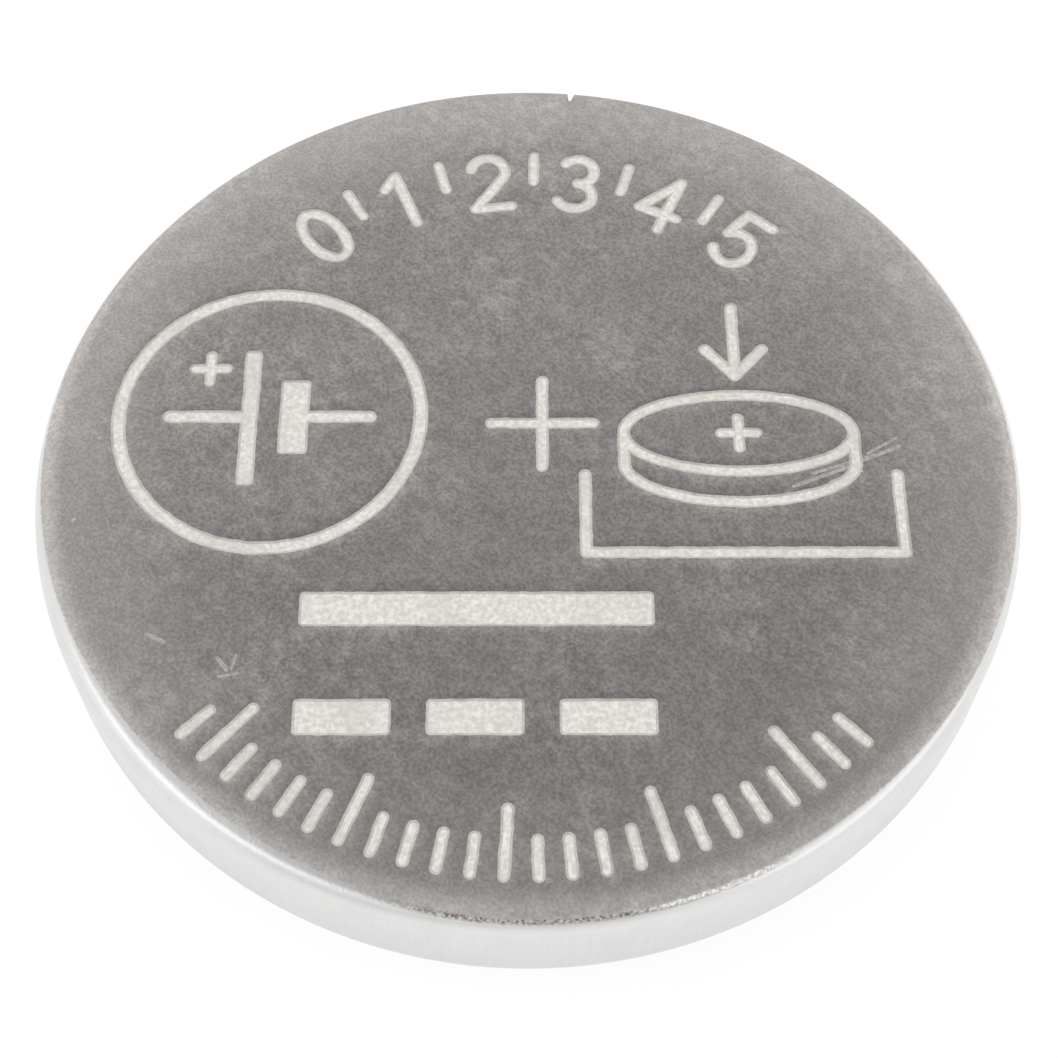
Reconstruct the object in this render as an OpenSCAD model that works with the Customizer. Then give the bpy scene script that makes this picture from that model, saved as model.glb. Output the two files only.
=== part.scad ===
// Lithium coin cell: a drawn can rolled over a gasket onto a drawn cap, with the pellet, grid,
// separator and lithium disc stacked between them. The cell stands on its negative contact face
// (z = 0) with its positive face up, and its axis is Z. All sizes are in millimetres.

/* [Cell] */
// Diameter over the wall of the can
cell_d = 20; // [14:0.5:30]
// Height from the negative contact face to the positive face
cell_h = 3.2; // [2.6:0.1:5.4]

/* [Positive can] */
// Sheet thickness of the can
can_t = 0.25; // [0.2:0.01:0.3]
// Inside radius of the drawn corner between the face and the wall
can_corner_in_r = 0.1; // [0.05:0.01:0.2]
// Width of the rim on which the face falls away to its corner
face_rim_w = 1.4; // [0.8:0.1:2]
// Large radius on which the rim of the face falls away
face_fall_r = 11; // [8:0.5:20]

/* [Crimp] */
// Angle that the lower edge of the can is rolled through
crimp_angle = 80; // [70:1:88]
// Straight lip past the end of the roll
lip_land = 0.15; // [0.05:0.01:0.25]
// Height of the rolled lip above the negative contact face
lip_rise = 0.2; // [0.1:0.01:0.4]

/* [Negative cap] */
// Sheet thickness of the cap
cap_t = 0.25; // [0.2:0.01:0.3]
// Inside radius of the shoulder round the contact face
pan_corner_in_r = 0.2; // [0.1:0.01:0.35]
// Outside radius of the reverse bend at the foot of the flange
step_fillet_r = 0.2; // [0.1:0.01:0.3]
// Width of the flat of the flange
flange_w = 0.25; // [0.15:0.01:0.6]
// Inside radius of the bend from the flange up to the skirt
flange_corner_in_r = 0.2; // [0.15:0.01:0.3]

/* [Sealing gasket] */
// Thickness squeezed between the can wall and the cap skirt
gasket_wall = 0.4; // [0.3:0.01:0.5]
// Thickness under the edge of the cap skirt
gasket_base = 0.35; // [0.25:0.01:0.45]
// Thickness of the leg inside the cap skirt
gasket_leg_t = 0.3; // [0.2:0.01:0.4]
// Length of the leg inside the cap skirt
gasket_leg_h = 0.7; // [0.4:0.05:0.8]
// Length of gasket that shows past the lip
gasket_reveal = 0.1; // [0.05:0.01:0.15]

/* [Current collector] */
// Thickness of the expanded-metal grid
collector_t = 0.12; // [0.08:0.01:0.2]
// Distance from the edge of the pellet to the edge of the grid
collector_margin = 0.9; // [0.3:0.1:2]
// Width of the coined rim round the grid
collector_rim = 0.3; // [0.2:0.05:0.6]
// Length of one mesh of the grid, strand middle to strand middle
mesh_l = 2.2; // [1.6:0.1:4]
// Width of one mesh of the grid, strand middle to strand middle
mesh_w = 1.4; // [1:0.1:3]
// Width of a strand
strand_w = 0.22; // [0.15:0.01:0.35]

/* [Cathode pellet] */
// Pressed chamfer round both edges of the pellet
pellet_chamfer = 0.15; // [0.05:0.01:0.25]

/* [Separator] */
// Thickness of the non-woven sheet
separator_t = 0.15; // [0.08:0.01:0.2]
// Height of the rim turned up round the pellet
separator_rim_h = 0.4; // [0.3:0.05:0.8]
// Gap between the separator and the wall of the cap
separator_clear = 0.1; // [0.05:0.01:0.2]
// Gap between the pellet and the turned-up rim
pellet_clear = 0.05; // [0.02:0.01:0.15]

/* [Lithium anode] */
// Thickness of the lithium disc
lithium_t = 0.58; // [0.4:0.01:0.7]
// Gap between the lithium disc and the bend of the cap
lithium_clear = 0.1; // [0.05:0.01:0.3]

/* [Hidden] */
$fn = 96;
cell_r = cell_d / 2;

// Drawn corner of the can: its arc runs tangent into the large arc of the rim
can_corner_r = can_corner_in_r + can_t;
face_flat_r = cell_r - face_rim_w;
corner_r_pos = cell_r - can_corner_r;
fall_span = corner_r_pos - face_flat_r;
fall_angle = asin(fall_span / (face_fall_r - can_corner_r));
fall_centre = [face_flat_r, cell_h - face_fall_r];
corner_centre = fall_centre + (face_fall_r - can_corner_r) * [sin(fall_angle), cos(fall_angle)];

// Rolled edge: can, gasket and flange corner bend about one centre
flange_corner_r = flange_corner_in_r + cap_t;
crimp_r = flange_corner_r + gasket_wall + can_t;
crimp_z = lip_rise + crimp_r * sin(crimp_angle) + lip_land * cos(crimp_angle);
crimp_centre = [cell_r - crimp_r, crimp_z];

// Cap, worked inwards from the skirt
skirt_r = cell_r - can_t - gasket_wall;
skirt_in_r = skirt_r - cap_t;
skirt_top_z = cell_h - can_t - gasket_base;
flange_z = crimp_z - flange_corner_r;
step_centre = [crimp_centre.x - flange_w, flange_z - step_fillet_r];
step_in_r = step_centre.x - step_fillet_r - cap_t;
pan_corner_r = pan_corner_in_r + cap_t;
pan_flat_r = step_in_r - pan_corner_in_r;

// Gasket
gasket_leg_r = skirt_in_r - gasket_leg_t;
gasket_leg_z = skirt_top_z - gasket_leg_h;

// Stack, worked inwards from the cap and upwards from the contact face
lithium_z = cap_t;
lithium_r = pan_flat_r - lithium_clear;
separator_z = lithium_z + lithium_t;
separator_r = step_in_r - separator_clear;
pellet_z = separator_z + separator_t;
pellet_r = separator_r - separator_t - pellet_clear;
collector_z = cell_h - can_t - collector_t;
collector_r = pellet_r - collector_margin;
pellet_h = collector_z - pellet_z;

// Points along a circular arc from angle a0 to a1, both ends included
function arc(centre, r, a0, a1, steps = 8) =
    [for (i = [0:steps]) let (a = a0 + (a1 - a0) * i / steps) centre + r * [cos(a), sin(a)]];

function reversed(points) = [for (i = [len(points) - 1:-1:0]) points[i]];

// Section line of the can, from the middle of the face to the end of a lip of the given
// length, at a depth below the outside of the sheet
function can_line(depth, lip) =
    let (roll = arc(crimp_centre, crimp_r - depth, 0, -crimp_angle, 12))
    concat(
        [[0, cell_h - depth]],
        arc(fall_centre, face_fall_r - depth, 90, 90 - fall_angle, 6),
        arc(corner_centre, can_corner_r - depth, 90 - fall_angle, 0, 8),
        roll,
        [roll[len(roll) - 1] - lip * [sin(crimp_angle), cos(crimp_angle)]]
    );

// Section line of the cap, from the middle of the contact face to the edge of the skirt,
// at a depth below the outside of the sheet
function cap_line(depth) = concat(
    [[0, depth]],
    arc([pan_flat_r, pan_corner_r], pan_corner_r - depth, -90, 0),
    arc(step_centre, step_fillet_r + depth, 180, 90),
    arc(crimp_centre, flange_corner_r - depth, -90, 0),
    [[skirt_r - depth, skirt_top_z]]
);

// Sheet drawn to a section line on its outside and one on its inside
module drawn_sheet(outside, inside) {
    rotate_extrude() polygon(concat(outside, reversed(inside)));
}

// Diamond with its corners on the two axes
module diamond(length, width) {
    polygon([[length / 2, 0], [0, width / 2], [-length / 2, 0], [0, -width / 2]]);
}

// Open meshes of an expanded-metal sheet that lie wholly inside a circle
module meshes(inside_r) {
    columns = ceil(inside_r / mesh_l) * 2;
    rows = ceil(inside_r / mesh_w) * 2;
    // A strand runs at a slant, so along each axis it is wider by the slope of the diamond
    slant = norm([mesh_l, mesh_w]);
    open_l = mesh_l - strand_w * slant / mesh_w;
    open_w = mesh_w - strand_w * slant / mesh_l;
    for (i = [-columns:columns], j = [-rows:rows]) {
        middle = [i * mesh_l / 2, j * mesh_w / 2];
        reach = max(
            norm([abs(middle.x) + open_l / 2, middle.y]),
            norm([middle.x, abs(middle.y) + open_w / 2])
        );
        if ((i + j) % 2 == 0 && reach < inside_r) translate(middle) diamond(open_l, open_w);
    }
}

// Drawn steel can, its lower edge rolled in over the gasket
module positive_can() {
    color("#a09c99") drawn_sheet(can_line(0, lip_land), can_line(can_t, lip_land));
}

// Drawn steel cap: raised contact pan, step, flange and skirt
module negative_cap() {
    color("#b4b1ae") drawn_sheet(cap_line(0), cap_line(cap_t));
}

// Moulded ring that fills the space between can and cap and hooks over the cap skirt
module sealing_gasket() {
    show = lip_land + gasket_reveal;
    inside_can = can_line(can_t, show);
    end = inside_can[len(inside_can) - 1];
    color("#dcdbd2") rotate_extrude() intersection() {
        polygon(concat(inside_can, [[0, end.y]]));
        polygon(concat(
            [
                [gasket_leg_r, cell_h],
                [gasket_leg_r, gasket_leg_z],
                [skirt_in_r, gasket_leg_z],
                [skirt_in_r, skirt_top_z],
                [skirt_r, skirt_top_z]
            ],
            arc(crimp_centre, flange_corner_r, 0, -90),
            [
                [end.x, flange_z],
                [end.x, 0],
                [cell_r, 0],
                [cell_r, cell_h]
            ]
        ));
    }
}

// Expanded-metal grid welded to the inside of the can
module current_collector() {
    color("#8f9092") translate([0, 0, collector_z]) linear_extrude(collector_t) difference() {
        circle(collector_r);
        meshes(collector_r - collector_rim);
    }
}

// Pressed pellet with a chamfer round both faces
module cathode_pellet() {
    flat_r = pellet_r - pellet_chamfer;
    color("#2c2b2b") translate([0, 0, pellet_z]) rotate_extrude() polygon([
        [0, 0],
        [flat_r, 0],
        [pellet_r, pellet_chamfer],
        [pellet_r, pellet_h - pellet_chamfer],
        [flat_r, pellet_h],
        [0, pellet_h]
    ]);
}

// Non-woven disc with its rim turned up round the pellet
module separator() {
    bend = [separator_r - separator_t - pellet_chamfer, pellet_z + pellet_chamfer];
    rim_z = pellet_z + separator_rim_h;
    color("#f1f0ea") drawn_sheet(
        concat(
            [[0, separator_z]],
            arc(bend, pellet_chamfer + separator_t, -90, 0),
            [[separator_r, rim_z]]
        ),
        concat(
            [[0, pellet_z]],
            arc(bend, pellet_chamfer, -90, 0),
            [[separator_r - separator_t, rim_z]]
        )
    );
}

// Lithium disc pressed onto the inside of the cap
module lithium_anode() {
    color("#b9bcc0") translate([0, 0, lithium_z]) cylinder(r = lithium_r, h = lithium_t);
}

positive_can();
negative_cap();
sealing_gasket();
current_collector();
cathode_pellet();
separator();
lithium_anode();
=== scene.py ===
"""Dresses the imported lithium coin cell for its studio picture.

The can, cap and gasket are turned again from the sections of the CAD solids, in finer steps. The
stack sealed inside keeps its CAD solids. The marks on the positive face are engraved in the mesh,
and every finish is made of shader nodes. Lengths are millimetres until a vertex is written, in
metres.
"""

from __future__ import annotations

import logging
import math
import random
from collections.abc import Iterable, Sequence
from dataclasses import dataclass, field
from enum import Enum, IntEnum

import bmesh
import bpy
from mathutils import Euler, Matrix, Vector, geometry, kdtree, noise


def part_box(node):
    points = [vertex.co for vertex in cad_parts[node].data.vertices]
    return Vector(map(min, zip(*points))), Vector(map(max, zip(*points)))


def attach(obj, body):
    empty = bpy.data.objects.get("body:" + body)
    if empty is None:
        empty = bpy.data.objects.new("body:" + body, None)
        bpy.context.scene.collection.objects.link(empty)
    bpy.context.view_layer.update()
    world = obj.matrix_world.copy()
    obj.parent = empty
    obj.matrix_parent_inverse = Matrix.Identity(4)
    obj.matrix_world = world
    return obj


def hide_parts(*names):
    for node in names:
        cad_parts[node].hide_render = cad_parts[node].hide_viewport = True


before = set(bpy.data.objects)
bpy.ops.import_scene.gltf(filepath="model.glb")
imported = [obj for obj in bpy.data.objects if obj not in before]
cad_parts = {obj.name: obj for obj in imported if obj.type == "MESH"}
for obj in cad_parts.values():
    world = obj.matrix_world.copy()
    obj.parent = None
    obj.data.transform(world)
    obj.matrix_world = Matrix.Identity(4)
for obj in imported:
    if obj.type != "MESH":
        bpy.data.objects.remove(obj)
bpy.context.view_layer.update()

MM = 0.001  # one millimetre in metres
IMAGE_SIDE = 1058  # px, the photograph is square
ON_AXIS = 1e-6  # mm, a radius below this is a single point on the axis
LOG = logging.getLogger("coin_cell")
SMOOTH = {"interpolation_type": "SMOOTHSTEP"}  # eases both ends of a MapRange node
MIX = {"data_type": "RGBA"}  # sets a Mix node to colours, whose sockets have these numbers
FACTOR, BELOW, ABOVE, MIXED = 0, 6, 7, 2

Point = tuple[float, float]
Ring = list[bmesh.types.BMVert]
Tree = bpy.types.NodeTree
Socket = bpy.types.NodeSocket


def linear(hex_colour: str) -> tuple[float, float, float, float]:
    """Turns an sRGB hex colour into linear RGBA.

    Args:
        hex_colour: colour as "#rrggbb".

    Returns:
        Red, green, blue and an alpha of 1 for a shader socket.
    """
    channels = [int(hex_colour[i : i + 2], 16) / 255 for i in (1, 3, 5)]
    # The curve of sRGB: a straight line near black, then a power
    red, green, blue = (
        c / 12.92 if c <= 0.04045 else ((c + 0.055) / 1.055) ** 2.4 for c in channels
    )
    return red, green, blue, 1.0


def add_node(
    tree: Tree,
    kind: str,
    settings: dict[str | int, object] | None = None,
    links: dict[str | int, Socket] | None = None,
) -> bpy.types.Node:
    """Adds one shader node to a tree, with its settings and what feeds it.

    Args:
        tree: node tree of a material or of the world.
        kind: Blender's type name of the node, without the ShaderNode that all of them start with.
        settings: values by property name, or by name or number of an input.
        links: source sockets by name or number of the input they feed.

    Returns:
        The new node.
    """
    node = tree.nodes.new("ShaderNode" + kind)
    for name, value in (settings or {}).items():
        if isinstance(name, str) and hasattr(node, name):
            setattr(node, name, value)
        else:
            node.inputs[name].default_value = value
    for name, source in (links or {}).items():
        tree.links.new(source, node.inputs[name])
    return node


def arc(centre: Point, radius: float, start: float, end: float, steps: int) -> list[Point]:
    """Lays points along a circular arc, both ends included.

    Args:
        centre: its centre.
        radius: its radius.
        start: angle in degrees at which it starts.
        end: angle at which it ends.
        steps: number of stretches between the points.

    Returns:
        The points.
    """
    turns = (math.radians(start + (end - start) * i / steps) for i in range(steps + 1))
    return [(centre[0] + radius * math.cos(t), centre[1] + radius * math.sin(t)) for t in turns]


def straight(start: Point, end: Point, steps: int) -> list[Point]:
    """Lays points along a straight line, both ends included.

    Args:
        start: where it starts.
        end: where it ends.
        steps: number of stretches between the points.

    Returns:
        The points.
    """
    return [
        (start[0] + (end[0] - start[0]) * i / steps, start[1] + (end[1] - start[1]) * i / steps)
        for i in range(steps + 1)
    ]


@dataclass(frozen=True)
class CellSizes:
    """Sizes of the cell in millimetres, with the values that the CAD solids have."""

    radius: float
    height: float
    sheet: float = 0.25  # thickness of can and cap
    face_rim_w: float = 1.4  # width of the rim on which the face falls away
    face_fall_r: float = 11.0  # radius on which it falls
    can_corner_r: float = 0.35
    crimp_angle: float = 80.0  # degrees that the edge of the can is rolled through
    lip_land: float = 0.15  # straight lip past the roll
    lip_rise: float = 0.2  # height of the lip above the contact face
    pan_corner_r: float = 0.45
    step_fillet_r: float = 0.2  # reverse bend at the foot of the flange
    flange_w: float = 0.25
    flange_corner_r: float = 0.45
    gasket_wall: float = 0.4  # between can and skirt
    gasket_base: float = 0.35  # over the edge of the skirt
    gasket_leg_t: float = 0.3  # inside the skirt
    gasket_leg_h: float = 0.7
    gasket_reveal: float = 0.1  # length that shows past the lip

    # Steps of each arc and line of a section
    FALL_STEPS = 4
    CORNER_STEPS = 16
    WALL_STEPS = 8
    ROLL_STEPS = 22
    BEND_STEPS = 12
    STEP_STEPS = 10

    @classmethod
    def from_frame(cls) -> CellSizes:
        """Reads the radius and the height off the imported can."""
        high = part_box("positive_can")[1]
        return cls(radius=high.x / MM, height=high.z / MM)

    @property
    def face_flat_r(self) -> float:
        """Radius out to which the positive face is flat."""
        return self.radius - self.face_rim_w

    @property
    def fall_angle(self) -> float:
        """Angle in degrees through which the rim of the face falls away."""
        span = self.radius - self.can_corner_r - self.face_flat_r
        return math.degrees(math.asin(span / (self.face_fall_r - self.can_corner_r)))

    @property
    def fall_centre(self) -> Point:
        """Centre of the large arc on which the rim of the face falls away."""
        return self.face_flat_r, self.height - self.face_fall_r

    @property
    def corner_centre(self) -> Point:
        """Centre of the drawn corner between face and wall.

        Returns:
            Point as (radius, height).
        """
        reach = self.face_fall_r - self.can_corner_r
        angle = math.radians(self.fall_angle)
        x, z = self.fall_centre
        return x + reach * math.sin(angle), z + reach * math.cos(angle)

    @property
    def crimp_r(self) -> float:
        """Outside radius of the rolled edge of the can."""
        return self.flange_corner_r + self.gasket_wall + self.sheet

    @property
    def crimp_centre(self) -> Point:
        """Centre about which can, gasket and flange corner all bend.

        Returns:
            Point as (radius, height).
        """
        angle = math.radians(self.crimp_angle)
        rise = self.lip_rise + self.crimp_r * math.sin(angle) + self.lip_land * math.cos(angle)
        return self.radius - self.crimp_r, rise

    @property
    def skirt_r(self) -> float:
        """Outside radius of the skirt of the cap."""
        return self.radius - self.sheet - self.gasket_wall

    @property
    def skirt_top(self) -> float:
        """Height of the upper edge of the skirt."""
        return self.height - self.sheet - self.gasket_base

    @property
    def step_centre(self) -> Point:
        """Centre of the reverse bend between flange and contact pan."""
        x, z = self.crimp_centre
        return x - self.flange_w, z - self.flange_corner_r - self.step_fillet_r

    @property
    def pan_flat_r(self) -> float:
        """Radius out to which the negative contact face is flat."""
        return self.step_centre[0] - self.step_fillet_r - self.pan_corner_r

    def face_height(self, r: float, depth: float = 0.0) -> float:
        """Height of the positive face at a radius, at a depth below its outside."""
        over = max(0.0, r - self.face_flat_r)
        return self.fall_centre[1] + math.sqrt((self.face_fall_r - depth) ** 2 - over**2)

    def lip_end(self, depth: float, lip: float) -> Point:
        """Finds the end of a straight lip past the roll of the can.

        Args:
            depth: distance below the outside of the sheet.
            lip: length of the lip.

        Returns:
            The end as (radius, height).
        """
        angle = math.radians(self.crimp_angle)
        x, z = self.crimp_centre
        reach = self.crimp_r - depth
        return (
            x + reach * math.cos(angle) - lip * math.sin(angle),
            z - reach * math.sin(angle) - lip * math.cos(angle),
        )

    def can_wall_line(self, depth: float, lip: float, from_r: float) -> list[Point]:
        """Section of the can from a radius on its face round to the end of a lip.

        Args:
            depth: distance below the outside of the sheet.
            lip: length of the straight lip past the roll.
            from_r: radius on the face at which the line starts.

        Returns:
            Points as (radius, height).
        """
        start = math.degrees(math.acos((from_r - self.face_flat_r) / (self.face_fall_r - depth)))
        corner, crimp = self.corner_centre, self.crimp_centre
        corner_r, crimp_r = self.can_corner_r - depth, self.crimp_r - depth
        top, foot = (corner[0] + corner_r, corner[1]), (crimp[0] + crimp_r, crimp[1])
        turn, fall_r = 90 - self.fall_angle, self.face_fall_r - depth
        return [
            *arc(self.fall_centre, fall_r, start, turn, self.FALL_STEPS),
            *arc(corner, corner_r, turn, 0, self.CORNER_STEPS)[1:],
            *straight(top, foot, self.WALL_STEPS)[1:],
            *arc(crimp, crimp_r, 0, -self.crimp_angle, self.ROLL_STEPS)[1:],
            self.lip_end(depth, lip),
        ]

    def cap_line(self, depth: float) -> list[Point]:
        """Section of the cap from the axis out to the edge of its skirt.

        Args:
            depth: distance below the outside of the sheet.

        Returns:
            Points as (radius, height).
        """
        pan = self.pan_flat_r, self.pan_corner_r
        return [
            (0.0, depth),
            (self.pan_flat_r / 2, depth),
            *arc(pan, self.pan_corner_r - depth, -90, 0, self.BEND_STEPS),
            *arc(self.step_centre, self.step_fillet_r + depth, 180, 90, self.STEP_STEPS),
            *arc(self.crimp_centre, self.flange_corner_r - depth, -90, 0, self.BEND_STEPS),
            (self.skirt_r - depth, self.skirt_top),
        ]


def even_angles(count: int) -> list[float]:
    """Angles in degrees, evenly spaced round the axis."""
    return [360 * i / count for i in range(count)]


class Turning:
    """A closed skin of revolution round the axis of the cell, with a material slot per face."""

    def __init__(self, angles: Sequence[float]) -> None:
        """Starts an empty mesh.

        Args:
            angles: ascending angles in degrees at which each ring has a vertex.
        """
        self.mesh = bmesh.new()
        self.turns = [math.radians(a) for a in angles]

    def vertex(self, x: float, y: float, z: float) -> bmesh.types.BMVert:
        """Adds a vertex that is given in millimetres."""
        return self.mesh.verts.new((x * MM, y * MM, z * MM))

    def ring(self, point: Point) -> Ring:
        """Adds one ring of vertices.

        Args:
            point: point of the section as (radius, height).

        Returns:
            The ring, or a single vertex on the axis.
        """
        r, z = point
        if r < ON_AXIS:
            return [self.vertex(0, 0, z)]
        return [self.vertex(r * math.cos(t), r * math.sin(t), z) for t in self.turns]

    def skin(self, rings: Sequence[Ring], slot: int = 0) -> None:
        """Joins rings in order with faces that look away from the metal.

        Args:
            rings: rings in the order of the section, its outside on the left.
            slot: material slot of the new faces.
        """
        for near, far in zip(rings, rings[1:]):
            for i in range(len(self.turns)):
                j = (i + 1) % len(self.turns)
                around = (near, i), (far, i), (far, j), (near, j)
                corners = dict.fromkeys(ring[k % len(ring)] for ring, k in around)
                self.mesh.faces.new(list(corners)).material_index = slot

    def finish(
        self, name: str, finishes: Sequence[Finish], slot: str, sharp: float
    ) -> bpy.types.Object:
        """Turns the mesh into a dressed piece that rides on the cell.

        Args:
            name: name of the piece.
            finishes: finishes in the order of the material slots.
            slot: name of the record's slot for the piece's finish; not used.
            sharp: angle in degrees above which an edge is shaded as sharp.

        Returns:
            The new object. The caller hides the CAD node that it stands for.
        """
        bmesh.ops.recalc_face_normals(self.mesh, faces=self.mesh.faces)
        data = bpy.data.meshes.new(name)
        self.mesh.to_mesh(data)
        self.mesh.free()
        data.shade_smooth()
        data.set_sharp_from_angle(angle=math.radians(sharp))
        for finish in finishes:
            data.materials.append(finish.material())
        piece = bpy.data.objects.new(name, data)
        bpy.context.scene.collection.objects.link(piece)
        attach(piece, "root")
        return piece


@dataclass(frozen=True)
class Pattern:
    """Cloudy noise whose grains have a real size.

    Attributes:
        size: width of one grain in millimetres.
        contrast: how hard the grains stand out, 1 for the noise as it comes.
        detail: octaves of finer noise.
        stretch: length of a grain along X, Y and Z, in widths.
        turn: degrees by which positions turn about Z, so the grain turns the other way.
        middle: share of the noise at which the pattern is half.
    """

    size: float
    contrast: float = 1.0
    detail: float = 2.0
    stretch: tuple[float, float, float] = (1.0, 1.0, 1.0)
    turn: float = 0.0
    middle: float = 0.5

    ROUGHNESS = 0.55  # weight of each finer octave against the one before
    SPREAD = 0.25  # half the range of the noise that is stretched to 0 and 1

    def build(self, tree: Tree, place: Socket) -> Socket:
        """Adds the pattern to a tree.

        Args:
            tree: node tree of the finish.
            place: position on the piece, in metres.

        Returns:
            A value from 0 to 1.
        """
        turn = {"rotation_type": "Z_AXIS", "Angle": math.radians(self.turn)}
        scale = {"operation": "MULTIPLY", 1: [1 / (self.size * MM * s) for s in self.stretch]}
        octaves = {"Scale": 1.0, "Detail": self.detail, "Roughness": self.ROUGHNESS}
        half = self.SPREAD / self.contrast
        spread = {"From Min": self.middle - half, "From Max": self.middle + half}
        turned = add_node(tree, "VectorRotate", turn, {"Vector": place}).outputs[0]
        scaled = add_node(tree, "VectorMath", scale, {0: turned}).outputs[0]
        grain = add_node(tree, "TexNoise", octaves, {"Vector": scaled}).outputs[0]
        return add_node(tree, "MapRange", spread, {"Value": grain}).outputs[0]


@dataclass(frozen=True)
class Layer:
    """A colour that lies over the ones below it, where a pattern lets it through.

    Attributes:
        colour: its sRGB hex colour.
        pattern: where it lies.
        cover: share that it covers where the pattern is full.
        start: value of the pattern at which it starts to show.
    """

    colour: str
    pattern: Pattern
    cover: float = 1.0
    start: float = 0.0


@dataclass(frozen=True)
class Finish:
    """A finish made of shader nodes: layered colours, a range of roughness and a fine relief.

    Attributes:
        base: sRGB hex colour below the layers.
        layers: colours over it, the lowest first. The relief follows the pattern of the first.
        roughness: roughness where the pattern of the gloss layer is 0 and where it is 1.
        gloss_layer: number of the layer whose pattern the roughness follows.
        relief: height of the relief in millimetres.
        metallic: 1 for a metal.
        inputs: other inputs of the shader by name.
    """

    base: str
    layers: tuple[Layer, ...]
    roughness: tuple[float, float]
    gloss_layer: int = 0
    relief: float = 0.001
    metallic: float = 1.0
    inputs: tuple[tuple[str, float], ...] = ()

    def material(self) -> bpy.types.Material:
        """Makes the material once, named for the finish.

        Returns:
            The material, or the one that an earlier piece made.
        """
        name = type(self).__name__
        if name in bpy.data.materials:
            return bpy.data.materials[name]
        made = bpy.data.materials.new(name)
        made.use_nodes = True
        tree = made.node_tree
        tree.nodes.clear()
        settings = {"Metallic": self.metallic, **dict(self.inputs)}
        shader = add_node(tree, "BsdfPrincipled", settings)
        add_node(tree, "OutputMaterial", links={"Surface": shader.outputs[0]})
        place = add_node(tree, "TexCoord").outputs["Object"]
        for name, source in self.surface(tree, place).items():
            tree.links.new(source, shader.inputs[name])
        return made

    def surface(self, tree: Tree, place: Socket) -> dict[str, Socket]:
        """Adds what varies over the surface.

        Args:
            tree: node tree of the finish.
            place: position on the piece, in metres.

        Returns:
            Sockets by the name of the shader's input that they feed.
        """
        shares = [layer.pattern.build(tree, place) for layer in self.layers]
        low, high = self.roughness
        gloss = {"Value": shares[self.gloss_layer]}
        rough = add_node(tree, "MapRange", {"To Min": low, "To Max": high}, gloss)
        bump = add_node(tree, "Bump", {"Distance": self.relief * MM}, {"Height": shares[0]})
        return {
            "Base Color": self.paint(tree, self.base, self.layers, shares),
            "Roughness": rough.outputs[0],
            "Normal": bump.outputs[0],
        }

    @staticmethod
    def paint(
        tree: Tree, base: str, layers: Iterable[Layer], shares: Iterable[Socket]
    ) -> Socket:
        """Lays the colours of layers over a base colour.

        Args:
            tree: node tree of the finish.
            base: sRGB hex colour below the layers.
            layers: the layers, the lowest first.
            shares: value from 0 to 1 of each layer's pattern.

        Returns:
            The colour.
        """
        below: dict[int, Socket] = {}
        for layer, share in zip(layers, shares):
            reach = {**SMOOTH, "From Min": layer.start, "To Max": layer.cover}
            cover = add_node(tree, "MapRange", reach, {"Value": share}).outputs[0]
            tints = {**MIX, BELOW: linear(base), ABOVE: linear(layer.colour)}
            mixed = add_node(tree, "Mix", tints, {FACTOR: cover, **below}).outputs[MIXED]
            below = {BELOW: mixed}
        return below[BELOW]


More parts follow.
